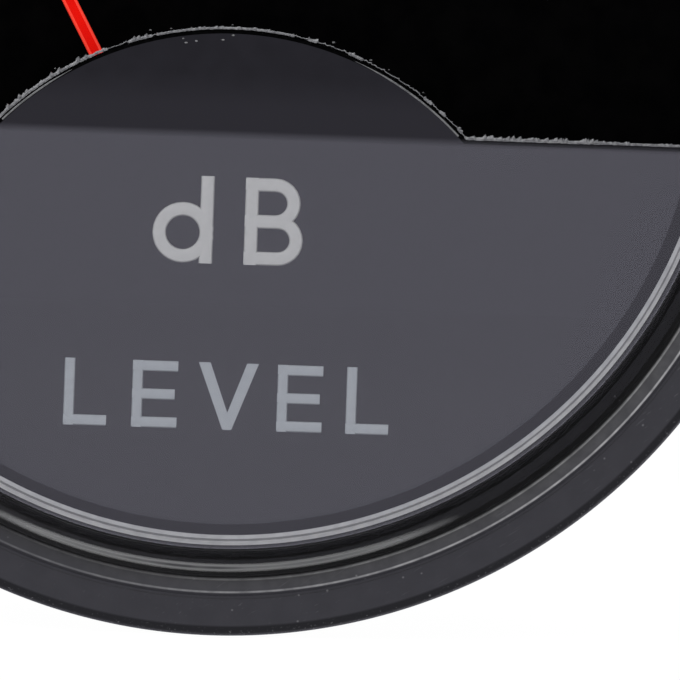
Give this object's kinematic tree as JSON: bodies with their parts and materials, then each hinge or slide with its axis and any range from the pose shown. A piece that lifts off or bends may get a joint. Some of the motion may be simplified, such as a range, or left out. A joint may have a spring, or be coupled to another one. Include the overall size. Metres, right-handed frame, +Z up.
{
  "type": "analog level meter",
  "caption": "Round flush panel meter: black flanged housing, clear raised lens, red needle on a moving-coil movement under a stepped cover plate, rear terminals and zero adjuster.",
  "frame": {"origin": "centre of the flange's back face, on the axis of the barrel: the point where the barrel enters the panel", "axes": "+Y along the barrel, from the face to the back; the dial looks towards -Y, +Z is up, +X is to the viewer's right"},
  "size_m": [0.052, 0.0446, 0.052],
  "materials": {
    "black_moulding": "satin moulded black",
    "clear_acrylic": "polished clear acrylic",
    "cover_plate": "matte charcoal, sheared edge",
    "dial_black": "dead matte black",
    "steel": "bright zinc plate",
    "phenolic": "brown phenolic moulding",
    "soft_iron": "turned iron, dull plate",
    "magnet": "ground magnet alloy",
    "brass": "turned and stamped brass",
    "jewel": "polished synthetic ruby",
    "bronze": "phosphor bronze strip",
    "aluminium": "thin sheet",
    "copper_wire": "enamelled copper wire",
    "needle_red": "fluorescent red paint",
    "tinned_brass": "tin plated",
    "board_green": "solder mask",
    "diode_glass": "amber glass body",
    "resistor_body": "lacquered body",
    "wire_sleeve": "thin plastic sleeve"
  },
  "bodies": {
    "meter_case": {"housing": "black_moulding", "lens": "clear_acrylic", "lower_cover": "cover_plate", "dial_plate": "dial_black", "dial_screws": "steel", "pointer_stops": "steel", "chassis": "phenolic", "yoke_ring": "soft_iron", "core_magnet": "magnet", "core_spacers": "brass", "front_bridge": "brass", "rear_bridge": "brass", "front_pillars": "brass", "rear_pillars": "brass", "through_bolts": "steel", "front_jewel_screw": "brass", "rear_jewel_screw": "brass", "front_jewel": "jewel", "rear_jewel": "jewel", "jewel_locknut": "brass", "spring_anchor": "brass", "front_hairspring": "bronze", "terminal_studs": "brass", "terminal_washers": "steel", "solder_lugs": "tinned_brass", "terminal_nuts": "brass", "case_screws": "steel", "rectifier_board": "board_green", "rectifier_diodes": "diode_glass", "series_resistor": "resistor_body", "lead_wires": "wire_sleeve"},
    "moving_coil": {"coil_former": "aluminium", "coil_winding": "copper_wire", "front_staff": "steel", "rear_staff": "steel", "front_collet": "brass", "rear_collet": "brass", "balance_cross": "aluminium", "balance_weights": "bronze", "pointer": "needle_red"},
    "zero_screw": {"zero_screw": "black_moulding"},
    "zero_lever": {"zero_lever": "brass", "rear_hairspring": "bronze"}
  },
  "joints": [
    {"name": "pointer_swing", "type": "hinge", "parent": "meter_case", "child": "moving_coil", "pos_m": [0, 0, -0.0113], "axis": [0, 1, 0], "range_deg": [-2, 59.2], "stiffness_Nm_per_rad": 0.00002, "deforming": ["front_hairspring", "rear_hairspring"]},
    {"name": "zero_screw_turn", "type": "hinge", "parent": "meter_case", "child": "zero_screw", "pos_m": [0, 0, -0.0038], "axis": [0, 1, 0], "range_deg": [-40, 40]},
    {"name": "zero_lever_swing", "type": "hinge", "parent": "meter_case", "child": "zero_lever", "pos_m": [0, 0, -0.0113], "axis": [0, 1, 0], "range_deg": [-5, 5]}
  ],
  "couplings": [
    {"joint": "zero_lever_swing", "follows": "zero_screw_turn", "ratio": 0.1176}
  ]
}
